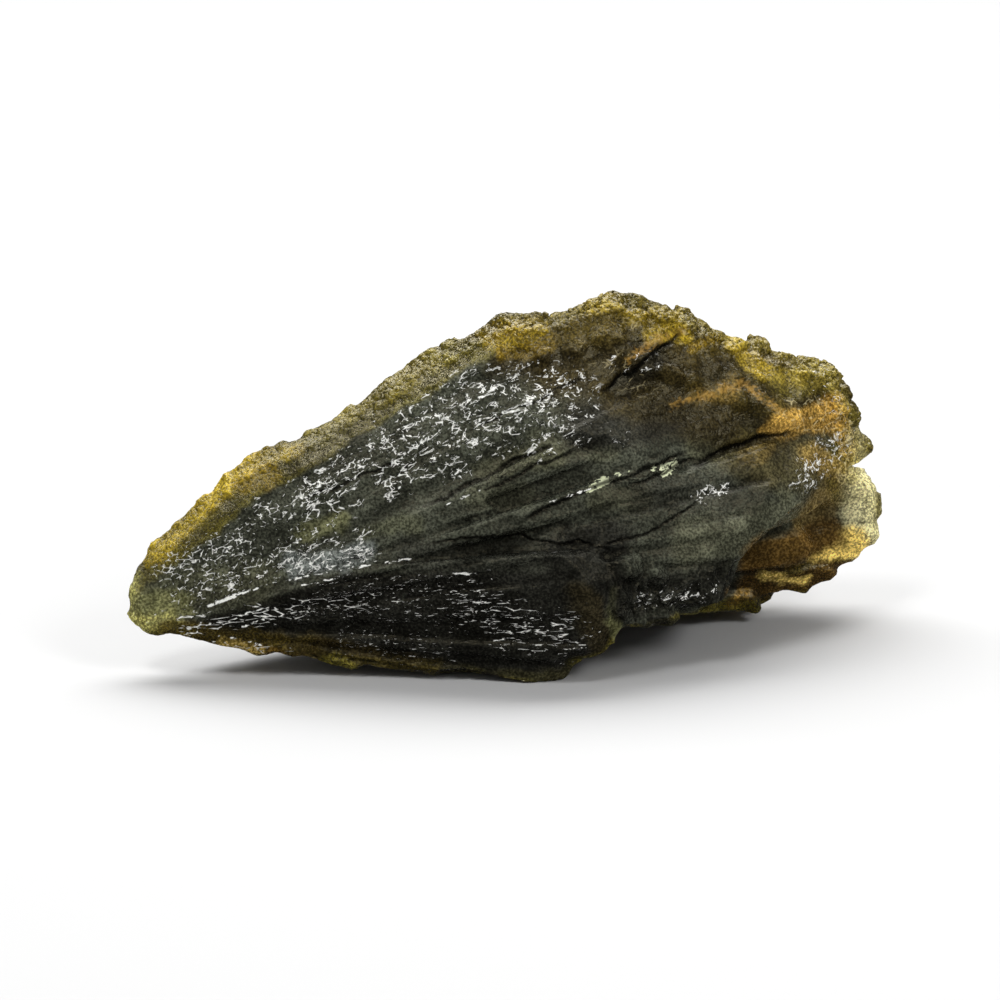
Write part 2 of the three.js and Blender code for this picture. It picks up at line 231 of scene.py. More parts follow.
# Cracks and steps on the front: the line as [u, v], its depth and half width, and how far the side
# below it is lowered.
CRACKS = [
    ([(21.51, 9.68), (24.05, 11.11), (27.22, 12.54), (31.98, 14.6)], 0.2, 0.16, 0.14),
    ([(28.41, 8.57), (31.98, 10.16), (35.56, 11.51), (39.13, 12.7), (42.3, 13.73)], 0.3, 0.2, 0.3),
    ([(34.52, 6.51), (39.13, 7.78), (43.1, 10.16)], 0.15, 0.14, 0.1),
    ([(34.92, 18.57), (37.14, 20.08), (39.92, 22.06), (41.9, 23.33)], 0.25, 0.2, 0.25),
    ([(42.3, 12.38), (44.68, 13.73), (47.86, 14.92), (51.03, 15.4)], 0.2, 0.16, 0.3),
    ([(37.14, 11.35), (43.1, 13.17)], 0.15, 0.14, 0.1),
    ([(25.63, 10.79), (28.81, 12.06), (33.57, 14.13)], 0.15, 0.14, 0.08),
    ([(24.84, 15.71), (30.4, 18.1), (34.37, 19.68)], 0.1, 0.12, 0.08),
    ([(11.35, 9.76), (16.11, 11.75), (19.29, 12.94)], 0.1, 0.12, 0.08),
    ([(20.87, 6.59), (28.81, 7.38), (36.75, 6.35)], 0.15, 0.14, 0.1),
]

# The outline's small swellings and hollows: the place as [u, v], the way out in degrees from the
# right, how far out and how wide.
NUDGES = [
    ((3.6, 10.6), 135, -0.45, 1.5),
    ((1.4, 8.6), 135, -0.30, 1.2),
    ((-0.8, 6.2), 150, 0.20, 1.0),
    ((-1.7, 4.6), 160, -0.25, 1.0),
    ((11.9, 16.0), 119, -0.40, 1.2),
    ((18.5, 19.8), 119, 0.40, 2.2),
    ((21.3, 21.8), 119, 0.30, 1.5),
    ((25.2, 24.0), 115, -0.55, 1.2),
    ((30.0, 25.2), 90, -0.30, 1.0),
    ((32.8, 25.9), 106, -0.35, 1.3),
    ((34.5, 26.8), 106, -0.60, 1.0),
    ((35.6, 26.7), 90, 0.30, 0.6),
    ((44.8, 23.7), 65, -0.50, 1.0),
    ((49.8, 22.1), 75, -0.35, 1.0),
    ((51.8, 21.9), 75, -0.45, 1.2),
    ((55.0, 19.3), 30, 0.40, 1.5),
    ((55.5, 16.9), 10, 0.35, 1.2),
    ((56.3, 14.5), 0, 0.60, 1.2),
    ((56.2, 12.4), 0, -0.50, 0.8),
    ((57.4, 10.6), 10, 0.20, 1.2),
    ((56.2, 6.2), -40, 0.40, 0.9),
    ((54.2, 4.8), -60, 0.30, 0.9),
    ((52.0, 3.3), -90, 0.50, 1.1),
    ((48.0, 1.7), -80, 0.50, 0.9),
    ((36.5, -1.0), -20, -0.60, 1.0),
    ((33.3, -3.2), -60, -0.60, 1.0),
    ((24.8, -3.5), -90, -0.20, 1.5),
    ((21.8, -3.7), -90, 0.40, 0.6),
    ((15.5, -3.3), -90, 0.25, 0.8),
    ((16.7, -3.2), -90, -0.20, 0.5),
    ((12.1, -2.3), -90, -0.30, 1.0),
    ((8.0, -2.1), -90, 0.40, 0.9),
    ((9.8, -2.1), -90, -0.20, 0.6),
]

CRACK_WANDER = 0.5
CRACK_ENDS = 0.12  # the share of a crack's length in which it starts, and in which it ends
STEP_EDGE = (-0.1, 0.3)
STEP_REACH = (2.4, 0.6)
FAR = 9.0  # in half widths, where no crack is near

# Each kind of relief: how many cells along and across the ribs, or for each mm, then its salt, and
# how high it stands or tilts.
PLATE_CELLS, PLATE_SALT, PLATE_STEP, PLATE_TILT = (3, 15), 3, 0.07, 0.12
PLATE_FULL = 40  # the reach at which the plates have their full height
MOSAIC_CELLS, MOSAIC_SALT, MOSAIC_DOME, MOSAIC_TILT = (15, 24), 40, 0.03, 0.09
FINE_STRIPES, FINE_SALT, FINE_HEIGHT = (6, 150), 90, 0.018
BROAD_STRIPES, BROAD_SALT, BROAD_HEIGHT = (3, 45), 95, 0.016
PEBBLES, PEBBLE_SALT = 1.5, 60
PEBBLE_DOME, COARSE_DOME = 0.04, 0.06
PEBBLE_TILT, COARSE_TILT = 0.11, 0.15
BLOCKS, BLOCK_SALT, BLOCK_STEP, BLOCK_TILT = (0.75, 0.6, 0.5), 70, 0.5, 0.2
BLOCKS_LEFT, BLOCKS_RIGHT, BLOCKS_TOP = (35.5, 36.5), (46, 44), (5.5, 3.5)
CELL_EDGE = (0, 0.3)
BLOCK_EDGE = (0, 0.12)
CALM_REACH = (22, 34)
MOSAIC_REACH = (4, 30)
STRIPE_REACH = (2, 12)
SUNK = 0.05  # the relief's mean height, taken off again


def nudged(p):
    """The places with the outline's swellings and hollows."""
    u, v, *_ = fan_terms(p)
    p = p.copy()
    for at, way, out, wide in NUDGES:
        share = out * np.exp(-((u - at[0]) ** 2 + (v - at[1]) ** 2) / wide**2)
        turn = math.radians(way)
        p += share[:, None] * (math.cos(turn) * ALONG_FAN + math.sin(turn) * UP_FAN)
    return p


def cracks(u, v, w):
    """The relief of the cracks and steps, how far off the nearest one lies in half widths, and how
    strong it is."""
    height, strong = np.zeros(len(u)), np.zeros(len(u))
    off = np.full(len(u), FAR)
    flat = np.stack([u, v, w * 0], 1)
    du = layered(flat * 0.6, 300) * CRACK_WANDER
    dv = layered(flat * 0.6, 310) * CRACK_WANDER
    for line, deep, width, step in CRACKS:
        away, share, side = off_line(u + du, v + dv, line)
        ends = ease(0, CRACK_ENDS, share) * ease(1, 1 - CRACK_ENDS, share)
        height -= deep * np.exp(-((away / width) ** 2)) * ends
        height -= step * ease(*STEP_EDGE, -side * away) * ease(*STEP_REACH, away) * ends
        nearer = away / width < np.abs(off)
        off = np.where(nearer, side * away / width, off)
        strong = np.where(nearer, ends, strong)
    return height, off, strong


def relief(p, n):
    """How far the surface stands proud at p, in mm."""
    u, v, w, reach, rise, depth = fan_terms(p)
    inset, share, _ = off_line(u, v, RIM)
    crust = is_crust(inset)
    lobe = is_lobe(u, v, w)
    front = faces_front(n)
    calm = 1 - 0.6 * ease(*CALM_REACH, reach)

    # Long plates, each at its own height and tilt, and flatter on the crust and the lobe.
    _, way, random = cells(polar(reach, rise, depth, *PLATE_CELLS), PLATE_SALT)
    plates = (random[:, 0] - 0.5) * PLATE_STEP
    plates += ((random[:, 1:] - 0.5) * way[:, 1:]).sum(1) * PLATE_TILT
    plates *= reach / PLATE_FULL * (1 - 0.7 * crust) * (1 - 0.5 * lobe) * (0.4 + 0.6 * calm)

    # The mosaic of crystal ends, which grows stronger away from the growth point.
    inside, way, random = cells(polar(reach, rise, depth, *MOSAIC_CELLS), MOSAIC_SALT)
    mosaic = MOSAIC_DOME * ease(*CELL_EDGE, inside) + MOSAIC_TILT * ((random - 0.5) * way).sum(1)
    mosaic *= ease(*MOSAIC_REACH, reach) * (1 - 0.6 * lobe)

    # Stripes along the ribs, strongest on the lobe and near the growth point.
    fine = noise(polar(reach, rise, depth, *FINE_STRIPES), FINE_SALT) * FINE_HEIGHT
    broad = noise(polar(reach, rise, depth, *BROAD_STRIPES), BROAD_SALT) * BROAD_HEIGHT
    stripe = (fine * (1 + 1.2 * lobe) + broad) * ease(*STRIPE_REACH, reach)
    stripe = stripe * (1 - crust) * calm

    # The crust's domed and tilted grains, which are rougher round the right half of the rim.
    inside, way, random = cells(p * PEBBLES, PEBBLE_SALT)
    coarse = ease(*CRUST_TURNS_COARSE, share)
    pebbles = (PEBBLE_DOME + COARSE_DOME * coarse) * ease(*CELL_EDGE, inside)
    pebbles += (PEBBLE_TILT + COARSE_TILT * coarse) * ((random - 0.5) * way).sum(1)
    pebbles *= crust * (0.2 + 0.8 * is_edge(inset, front))

    # The stepped blocks under the right half.
    inside, way, random = cells(np.stack([u, v, w], 1) * BLOCKS, BLOCK_SALT)
    blocks = BLOCK_STEP * (random[:, 0] - 0.5) * ease(*BLOCK_EDGE, inside)
    blocks += BLOCK_TILT * ((random - 0.5) * way).sum(1)
    blocks *= ease(*BLOCKS_LEFT, u) * ease(*BLOCKS_RIGHT, u) * ease(*BLOCKS_TOP, v) * front

    carved, _, _ = cracks(u, v, w)
    return plates + mosaic + stripe + pebbles + blocks + carved * front


# ---- The mesh, in mm until it is finished ----

VOXEL = 0.2
MOST_TRIANGLES = 195000
WELD = 1e-6  # in metres
EVEN_PASSES, FLAT_PASSES, FRONT_PASSES, THICKNESS_PASSES, PROUD_PASSES = 9, 30, 12, 20, 6
MOST_THICK, LEAST_THICK = 14.0, 0.3
RAY_START = 0.1  # below the surface


def applied(holder):
    """An object's mesh with its modifiers applied."""
    graph = bpy.context.evaluated_depsgraph_get()
    graph.update()
    return bpy.data.meshes.new_from_object(holder.evaluated_get(graph))


def fine_mesh():
    """The CAD node's surface in even small faces."""
    bm = bmesh.new()
    bm.from_mesh(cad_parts[NODE].data)
    bmesh.ops.remove_doubles(bm, verts=bm.verts, dist=WELD)
    bmesh.ops.scale(bm, vec=(1 / MM,) * 3, verts=bm.verts)
    mesh = bpy.data.meshes.new("coarse")
    bm.to_mesh(mesh)
    bm.free()
    holder = bpy.data.objects.new("coarse", mesh)
    bpy.context.scene.collection.objects.link(holder)
    remesh = holder.modifiers.new("fine", "REMESH")
    remesh.mode = "VOXEL"
    remesh.voxel_size = VOXEL
    made = applied(holder)
    bpy.data.objects.remove(holder)
    return made


def places(mesh):
    co = np.zeros(len(mesh.vertices) * 3, np.float32)
    mesh.vertices.foreach_get("co", co)
    return co.reshape(-1, 3).astype(float)


def put(mesh, p):
    """Moves the vertices to these places."""
    mesh.vertices.foreach_set("co", p.astype(np.float32).ravel())
    mesh.update()


def normals(mesh):
    n = np.zeros(len(mesh.vertices) * 3, np.float32)
    mesh.vertex_normals.foreach_get("vector", n)
    return n.reshape(-1, 3).astype(float)


def smoothed(mesh, values, times, weight=0.7):
    """Values at the vertices, evened out with their neighbours'."""
    ends = np.zeros(len(mesh.edges) * 2, np.int32)
    mesh.edges.foreach_get("vertices", ends)
    a, b = ends.reshape(-1, 2).T
    size = len(mesh.vertices)
    count = np.maximum(np.bincount(a, minlength=size) + np.bincount(b, minlength=size), 1)
    columns = values.reshape(size, -1).T.copy()
    for _ in range(times):
        for i, c in enumerate(columns):
            total = np.bincount(a, c[b], size) + np.bincount(b, c[a], size)
            columns[i] = c + weight * (total / count - c)
    return columns.T.reshape(values.shape)


def shaped():
    """The crystal with an even crust, a flat face, the outline corrected, and the relief."""
    mesh = fine_mesh()
    p = places(mesh)
    u, v, *_ = fan_terms(p)
    inset, share, _ = off_line(u, v, RIM)
    front = smoothed(mesh, faces_front(normals(mesh)), FRONT_PASSES)
    edge = is_edge(inset, front)
    even = smoothed(mesh, p, EVEN_PASSES)
    flat = smoothed(mesh, even, FLAT_PASSES)
    evening = 0.85 - 0.35 * ease(*CRUST_TURNS_COARSE, share)
    p += (even - p) * (is_crust(inset) * edge * evening)[:, None]
    p += (flat - p) * (ease(*FLAT_INSET, inset) * (1 - edge) * 0.9)[:, None]
    p = nudged(p)
    put(mesh, p)
    n = normals(mesh)
    p += n * (relief(p, n) - SUNK)[:, None]
    p[:, 2] = np.maximum(p[:, 2], 0)
    put(mesh, p)
    holder = bpy.data.objects.new("holder", mesh)
    bpy.context.scene.collection.objects.link(holder)
    triangles = sum(len(f.vertices) - 2 for f in mesh.polygons)
    if triangles > MOST_TRIANGLES:
        fewer = holder.modifiers.new("fewer", "DECIMATE")
        fewer.ratio = MOST_TRIANGLES / triangles
    made = applied(holder)
    bpy.data.objects.remove(holder)
    return made


def thickness(mesh):
    """How much crystal lies behind each vertex."""
    faces = [f.vertices for f in mesh.polygons]
    tree = BVHTree.FromPolygons([v.co for v in mesh.vertices], faces)
    result = np.zeros(len(mesh.vertices))
    through = Vector(THROUGH_FAN)
    for i, vertex in enumerate(mesh.vertices):
        n = vertex.normal
        inwards = -through if n.dot(through) > 0 else through
        least = MOST_THICK
        for way in (-n, (inwards - n).normalized(), inwards):
            distance = tree.ray_cast(vertex.co - n * RAY_START, way, MOST_THICK)[3]
            if distance is not None:
                least = min(least, max(distance, LEAST_THICK))
        result[i] = least
    return smoothed(mesh, result, THICKNESS_PASSES)


# ---- Colour, as it lies in the crystal, with painted shade, painted glints and painted glow ----

CHARCOAL = (0.047, 0.050, 0.036)
DARK = (0.018, 0.018, 0.015)
BLACK = (0.011, 0.011, 0.009)
GREY_OLIVE = (0.10, 0.10, 0.055)
SAGE = (0.20, 0.20, 0.08)
OLIVE = (0.23, 0.195, 0.026)
MOSS = (0.15, 0.125, 0.018)
KHAKI = (0.46, 0.37, 0.06)
GOLD = (1.0, 0.70, 0.04)
DEEP_GOLD = (0.28, 0.18, 0.010)
UMBER = (0.078, 0.055, 0.008)
BROWN = (0.033, 0.024, 0.007)
TAN = (0.30, 0.20, 0.05)
ORANGE = (0.65, 0.38, 0.07)
AMBER = (1.0, 0.72, 0.18)
RUST = (0.10, 0.056, 0.012)
RESIN = (0.30, 0.17, 0.025)
PALE = (1.0, 0.92, 0.50)
YELLOW_GREEN = (0.68, 0.64, 0.20)
MIST = (0.28, 0.31, 0.30)

# Patches of colour: the two ends as [u, v], the half width, the colour, how much of it, and how
# clear the crystal is there. Most are the crystal's own colour; a few paint shade or glow, as
# marked.
PATCHES = [
    ((20.9, 5.4), (35.2, 6.3), 1.75, DARK, 0.65, 0.0),
    ((34.4, 7.0), (36.3, 6.6), 1.03, BLACK, 0.9, 0.0),
    ((-0.6, 3.0), (8.2, 3.8), 1.43, GREY_OLIVE, 0.45, 0.0),
    ((11.7, 7.6), (14.4, 8.7), 0.71, SAGE, 0.4, 0.0),
    ((16.9, 7.5), (20.5, 8.2), 0.79, SAGE, 0.1, 0.0),
    ((11.0, 5.0), (16.5, 6.0), 0.71, MIST, 0.35, 0.0),
    ((26.4, 12.5), (31.2, 13.7), 0.95, GREY_OLIVE, 0.5, 0.0),
    ((30.4, 14.9), (35.2, 14.1), 0.95, GREY_OLIVE, 0.3, 0.0),
    ((35.2, 10.2), (38.3, 9.8), 0.95, GREY_OLIVE, 0.3, 0.0),
    ((43.1, 14.1), (47.1, 14.9), 1.11, GREY_OLIVE, 0.5, 0.0),
    ((42.3, 6.6), (50.2, 8.6), 1.75, GREY_OLIVE, 0.3, 0.0),
    ((50.2, 11.0), (52.6, 12.5), 0.95, GREY_OLIVE, 0.3, 0.0),
    ((32.0, 22.1), (43.1, 19.3), 3.65, BROWN, 0.95, 0.1),
    ((41.5, 22.1), (54.2, 19.3), 3.65, BROWN, 0.95, 0.1),
    ((27.2, 20.9), (32.0, 22.1), 1.27, BROWN, 0.8, 0.1),
    ((39.9, 16.5), (49.4, 15.7), 1.59, BROWN, 0.6, 0.05),
    # Painted shadow under the step of the groove above it.
    ((36.6, 19.3), (39.3, 21.3), 0.71, DARK, 0.6, 0.0),
    ((34.0, 15.6), (39.5, 16.2), 1.59, DARK, 0.9, 0.0),
    ((32.0, 6.3), (36.7, 7.0), 1.27, DARK, 0.8, 0.0),
    ((25.6, 10.2), (28.8, 10.3), 0.95, GREY_OLIVE, 0.25, 0.0),
    ((46.3, 14.1), (53.4, 12.5), 2.06, UMBER, 0.45, 0.05),
    ((30.4, 24.0), (43.1, 25.1), 1.9, UMBER, 0.95, 0.3),
    ((42.3, 24.0), (48.7, 21.3), 1.75, UMBER, 0.95, 0.3),
    ((48.7, 20.6), (54.2, 19.7), 1.27, UMBER, 0.8, 0.4),
    ((43.1, 18.1), (48.7, 18.1), 1.43, UMBER, 0.6, 0.2),
    ((37.1, 17.9), (44.7, 16.8), 1.43, BROWN, 0.8, 0.1),
    ((39.1, 10.2), (44.7, 10.2), 1.43, DARK, 0.5, 0.0),
    ((9.8, 13.7), (15.3, 16.9), 1.11, MOSS, 0.8, 0.6),
    ((15.3, 16.9), (22.5, 21.3), 1.11, KHAKI, 0.65, 0.7),
    ((22.5, 21.9), (25.6, 22.5), 1.11, OLIVE, 0.7, 0.6),
    ((-2.1, 3.8), (-1.8, 0.2), 0.71, YELLOW_GREEN, 0.9, 0.5),
    ((-1.5, -0.2), (1.5, 0.6), 0.87, YELLOW_GREEN, 0.85, 0.5),
    ((-1.2, 1.7), (2.6, 2.4), 0.79, SAGE, 0.75, 0.1),
    ((0.2, 0.2), (3.4, 1.4), 0.32, SAGE, 0.7, 0.1),
    ((3.8, 10.4), (7.4, 13.0), 1.19, GOLD, 1.0, 0.5),
    ((7.8, 12.4), (11.3, 14.3), 0.79, GOLD, 0.45, 0.7),
    ((-0.6, 5.6), (3.8, 9.4), 0.87, GOLD, 0.6, 0.55),
    ((7.0, 11.0), (9.4, 12.1), 0.71, DEEP_GOLD, 0.7, 0.5),
    ((26.4, 23.0), (30.0, 23.7), 0.87, GOLD, 0.75, 0.85),
    ((27.2, 21.9), (30.8, 22.5), 0.71, DEEP_GOLD, 0.7, 0.4),
    ((34.2, 25.4), (36.7, 26.0), 0.63, GOLD, 0.35, 0.8),
    ((37.5, 24.3), (40.9, 24.6), 0.79, GOLD, 0.25, 0.6),
    ((39.0, 22.9), (41.5, 23.4), 0.56, GOLD, 0.6, 0.6),
    ((42.3, 22.5), (44.4, 22.9), 0.48, DEEP_GOLD, 0.8, 0.5),
    ((45.9, 22.5), (48.0, 20.6), 0.79, GOLD, 0.35, 0.5),
    ((48.5, 20.3), (51.0, 20.1), 0.63, GOLD, 0.25, 0.5),
    ((48.3, 15.6), (50.2, 15.9), 0.24, ORANGE, 0.8, 0.2),
    ((49.8, 16.1), (53.8, 17.1), 1.03, ORANGE, 0.9, 0.4),
    ((46.3, 13.7), (48.7, 14.5), 0.63, TAN, 0.3, 0.1),
    ((42.6, 18.1), (45.4, 19.0), 0.7, TAN, 0.45, 0.1),
    ((49.4, 19.8), (54.2, 20.3), 1.11, KHAKI, 0.35, 0.7),
    ((54.0, 18.1), (55.0, 14.5), 0.71, ORANGE, 0.6, 0.4),
    ((52.2, 13.3), (54.6, 12.5), 1.11, TAN, 0.8, 0.2),
    # The right end's pale grains and amber wedge: their own colours, made bright enough to paint
    # the glow of light through them from behind.
    ((55.6, 15.3), (56.3, 12.9), 0.79, PALE, 0.5, 0.6),
    ((56.3, 11.3), (57.0, 6.6), 1.5, PALE, 0.66, 0.0),
    ((53.0, 5.7), (56.0, 6.8), 0.95, AMBER, 1.0, 0.0),
    ((52.2, 8.6), (54.2, 10.2), 1.11, TAN, 0.5, 0.2),
    ((47.9, 5.4), (53.8, 7.0), 1.27, RUST, 1.0, 0.1),
    ((47.1, 3.0), (55.0, 4.2), 0.95, RUST, 1.0, 0.4),
    ((48.3, 3.6), (51.8, 3.8), 0.32, AMBER, 0.9, 0.3),
    ((45.9, 2.1), (48.3, 2.2), 0.63, RUST, 0.8, 0.3),
    ((46.3, 2.4), (47.2, 2.5), 0.32, ORANGE, 0.7, 0.3),
    ((36.9, -0.5), (44.5, 0.5), 0.71, BLACK, 0.95, 0.0),
    ((1.4, -0.3), (12.1, -1.7), 0.95, UMBER, 0.9, 0.3),
    ((6.2, -1.6), (10.6, -2.1), 0.48, RESIN, 0.6, 0.4),
    ((11.3, -1.9), (21.7, -3.2), 0.95, BROWN, 0.9, 0.1),
    ((13.3, -2.9), (16.5, -3.2), 0.4, OLIVE, 0.8, 0.5),
    ((5.4, -1.3), (8.3, -1.9), 0.48, AMBER, 0.5, 0.5),
    ((23.3, -2.9), (34.4, -3.3), 0.95, DARK, 0.9, 0.0),
    ((33.6, 2.6), (35.4, -1.0), 1.03, BROWN, 0.4, 0.0),
    ((32.0, 4.4), (36.1, 4.1), 1.11, BLACK, 0.9, 0.0),
    ((36.3, 2.6), (36.4, -1.3), 0.45, SAGE, 0.6, 0.0),
    ((37.1, 2.2), (44.3, 3.4), 1.59, BLACK, 0.9, 0.0),
]

# Painted highlights along the ribs, where broken edges catch the light: the two ends as [u, v], and
# the half width at each.
RIB_GLINTS = [
    ((33.81, 10.87), (37.14, 12.38), 0.10, 0.02),
    ((34.21, 10.95), (35.63, 11.75), 0.26, 0.24),
    ((39.21, 12.54), (40.95, 12.94), 0.08, 0.28),
    ((40.0, 12.06), (40.56, 12.38), 0.2, 0.18),
]

# Orange lines along the edges of plates, as the rib glints.
SEAMS = [
    ((37.38, 21.11), (39.52, 22.78), 0.0, 0.10),
    ((39.52, 22.86), (41.67, 23.49), 0.10, 0.05),
    ((40.87, 17.62), (43.49, 18.41), -0.05, 0.0),
    ((43.25, 18.1), (46.43, 19.37), 0.0, 0.15),
    ((44.05, 18.41), (45.48, 19.05), 0.15, 0.20),
    ((46.43, 19.37), (50.24, 16.51), 0.05, 0.0),
    ((49.05, 15.56), (51.03, 16.51), 0.0, 0.1),
]

# Thin pale lines along the ridges, painted highlights where they catch the light, as the rib
# glints.
LINES = [
    ((1.83, 0.71), (4.6, 1.9), 0.02, 0.10),
    ((4.6, 1.9), (7.38, 2.86), 0.12, 0.10),
    ((7.38, 2.86), (9.37, 3.57), 0.08, 0.06),
    ((9.37, 3.57), (13.73, 4.44), 0.06, 0.04),
    ((14.37, 4.6), (17.06, 5.0), 0.06, 0.05),
    ((18.1, 5.16), (20.24, 5.48), 0.07, 0.03),
    ((11.75, 3.41), (14.92, 4.05), 0.03, 0.04),
    ((4.52, -0.56), (6.98, -0.87), 0.06, 0.05),
    ((6.98, -0.87), (9.21, -1.59), 0.06, 0.02),
    ((2.62, 0.0), (5.95, 0.63), 0.05, 0.04),
    ((6.19, 0.87), (9.13, 1.67), 0.05, 0.04),
    ((6.59, 0.0), (8.81, 0.79), 0.04, 0.05),
    ((23.57, 4.29), (25.48, 4.37), 0.06, 0.05),
    ((25.95, 4.52), (26.9, 4.6), 0.05, 0.02),
    ((31.03, 9.92), (34.21, 10.95), 0.02, 0.06),
    ((22.46, 9.52), (25.63, 10.79), 0.02, 0.04),
    ((5.4, 3.97), (8.33, 4.92), 0.02, 0.03),
    ((3.02, 2.54), (5.4, 3.57), 0.01, 0.03),
    ((-0.56, 0.48), (3.41, 1.98), 0.0, 0.02),
    ((0.08, 1.11), (3.81, 2.7), 0.0, 0.02),
]

# Where the painted glints show, pale strokes that paint highlights on the cells' edges: two ends as
# [u, v], the half width, and how much.
GLINT_AREAS = [
    ((5.8, 3.8), (13.7, 7.4), 1.43, 0.5),
    ((11.3, 5.2), (16.7, 6.0), 0.95, 1.2),
    ((12.9, 6.6), (16.7, 7.5), 0.79, 1.0),
    ((12.9, 10.2), (19.3, 13.7), 2.38, 0.9),
    ((18.1, 11.3), (24.0, 12.7), 1.27, 1.0),
    ((19.3, 14.1), (32.0, 17.7), 2.86, 1.0),
    ((21.7, 16.9), (30.4, 15.7), 1.9, 1.05),
    ((23.7, 19.3), (31.2, 19.7), 1.27, 0.85),
    ((30.4, 14.1), (33.6, 14.9), 1.11, 0.85),
    ((33.1, 19.6), (33.7, 19.6), 0.4, 1.15),
    ((35.2, 20.9), (39.1, 20.9), 0.79, 0.75),
    ((38.3, 2.2), (43.1, 2.9), 0.79, 0.65),
    ((42.7, 10.4), (44.8, 11.0), 0.63, 1.1),
    ((36.0, 14.8), (37.1, 14.9), 0.63, 0.9),
    ((51.4, 12.1), (54.2, 14.5), 1.27, 1.0),
]

# Where they are finer, as the glint areas.
FINE_GLINT_AREAS = [
    ((1.4, 4.6), (6.6, 6.6), 1.43, 1.45),
    ((2.6, 3.2), (11.3, 6.2), 1.75, 1.05),
    ((8.3, 9.0), (14.1, 10.8), 1.11, 1.2),
    ((11.3, 5.2), (16.7, 6.0), 0.95, 1.1),
    ((14.5, 12.5), (19.3, 14.5), 1.59, 0.8),
    ((19.3, 14.9), (32.0, 18.1), 2.86, 0.75),
    ((23.7, 19.3), (31.2, 19.7), 1.27, 0.8),
    ((38.3, 2.2), (43.9, 2.9), 0.95, 0.7),
    ((42.7, 10.4), (44.8, 11.0), 0.63, 0.8),
    ((51.4, 12.1), (54.2, 14.5), 1.27, 0.9),
    ((52.6, 19.7), (55.6, 15.7), 0.95, 0.7),
]

# Where thin dark veins cross the crystal, as the glint areas.
VEINED = [
    ((56.0, 11.3), (56.7, 6.6), 1.11, 0.9),
    ((53.0, 5.7), (56.0, 6.8), 1.11, 0.8),
    ((55.4, 15.7), (56.3, 12.9), 0.95, 0.7),
    ((51.0, 16.9), (55.0, 15.7), 1.11, 0.4),
    ((38.3, 23.7), (43.1, 23.3), 1.11, 0.4),
    ((3.4, 10.2), (7.4, 12.7), 1.11, 0.3),
]

# Where the crust's grains have pale outlines, painted highlights on their edges, as the glint
# areas.
OUTLINED = [
    ((34.0, 22.5), (38.3, 19.3), 1.27, 0.5),
    ((38.3, 24.0), (43.1, 23.3), 1.43, 0.7),
    ((46.3, 22.1), (54.2, 20.5), 1.43, 0.5),
    ((51.0, 17.3), (55.8, 15.7), 1.59, 0.9),
    ((54.2, 14.9), (56.0, 10.2), 1.43, 0.9),
    ((56.6, 11.0), (57.0, 6.6), 1.11, 0.3),
]

# Where pale dashes, painted glints, lie along the lobe's ribs, as the glint areas.
DASHES = [
    ((11.3, 1.3), (19.3, 1.8), 0.79, 0.8),
    ((13.7, 3.0), (25.6, 3.4), 1.59, 0.75),
    ((19.3, 1.3), (24.8, 1.0), 1.27, 0.7),
    ((24.0, 1.6), (32.8, -0.3), 1.9, 0.95),
    ((27.2, -1.3), (32.0, -1.7), 0.95, 0.9),
    ((15.3, -1.0), (23.3, -1.7), 1.43, 0.7),
]

# Where a net of long pale strokes, painted glints, shows near the growth point, as the glint areas.
WEBS = [
    ((2.6, 0.2), (12.9, 1.7), 0.79, 1.1),
    ((13.7, 2.2), (19.3, 2.4), 0.79, 0.7),
    ((4.6, -1.0), (10.6, -1.9), 0.48, 0.7),
    ((25.6, 2.1), (32.4, -0.2), 1.43, 0.6),
]

PATCH_EDGE = (1.5, 0.6)  # in half widths, where a patch fades in
STROKE_EDGE = (1.9, 0.1)
OFF_FRONT = 3.0  # how far outside every line the back counts as, in mm
GLINT_OFF_FRONT = 0.35
PATCH_FACING, PATCH_BEHIND = (-0.5, 0.0), 0.5  # a patch's share on surfaces that face backwards
THIN = (4.2, 2.2)
THIN_OLIVE, THIN_CLEAR = 0.95, 0.85
TIP_REACH, TIP_DEPTH = (16, 8), (12, 6)
# The olive margin: its width, how much wider it is from the upper left onwards, and how much of
# that it loses at the top. The places are shares of the rim.
MARGIN, MARGIN_MORE, MARGIN_LESS = 0.5, 2.0, 0.6
MARGIN_WIDENS, MARGIN_NARROWS = (0.15, 0.24), (0.35, 0.42)
MARGIN_BLUR = 0.35
LIT, LIT_INSET, LIT_SHARE = 0.3, (1.0, 0.3), (0.2, 0.3)
BODY_LEVEL = 0.9
FACE_TURN = math.radians(25)
FACE_CELLS = (0.72, 1.1)  # along the ribs and across them, for each mm
LOW_FACE_CELLS = (0.72, 2.7, 0.8)


def tinted(body, colour, share):
    """The body colour, with a share of another colour."""
    return body + (np.array(colour) - body) * share[:, None]


